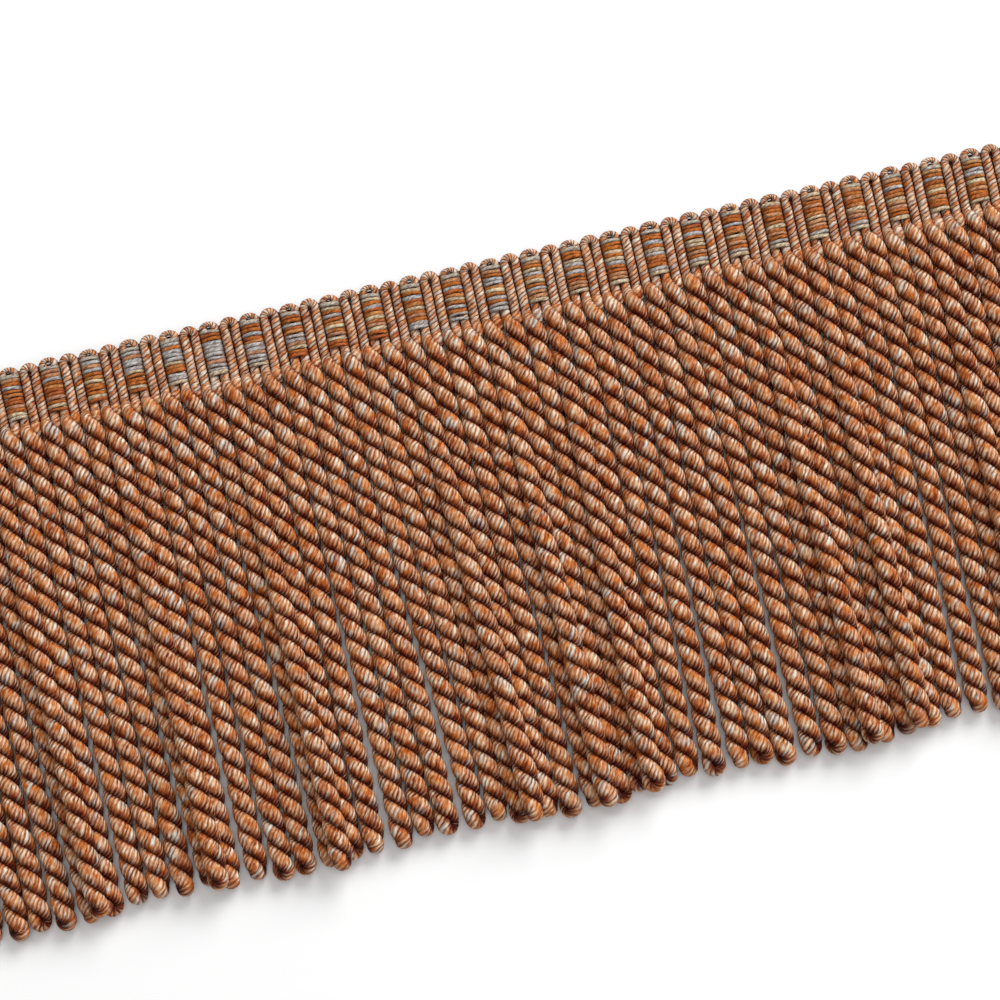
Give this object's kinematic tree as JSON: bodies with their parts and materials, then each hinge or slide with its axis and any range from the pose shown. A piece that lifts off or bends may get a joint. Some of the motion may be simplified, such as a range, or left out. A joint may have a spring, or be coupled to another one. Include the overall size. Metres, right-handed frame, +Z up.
{
  "type": "bullion fringe trim",
  "caption": "Flat length of bullion fringe: a woven heading with a looped top edge and a skirt of thick two-ply twisted cords, in rust, brown and cream.",
  "frame": {"origin": "Middle of the trim's bounding box, on the surface that it lies on.", "axes": "+X along the heading, +Y from the bullions' tips to the looped edge, +Z up off the surface, out of the trim's face."},
  "size_m": [0.3248, 0.154, 0.0112],
  "materials": {
    "heading_yarn": "matt mixed yarn in rust, brown, cream and blue-grey",
    "bullion_yarn": "soft sheen, mixed yarn in orange, rust, brown and cream"
  },
  "bodies": {
    "root": {"heading": "heading_yarn", "bullion_fringe": "bullion_yarn"}
  },
  "joints": []
}
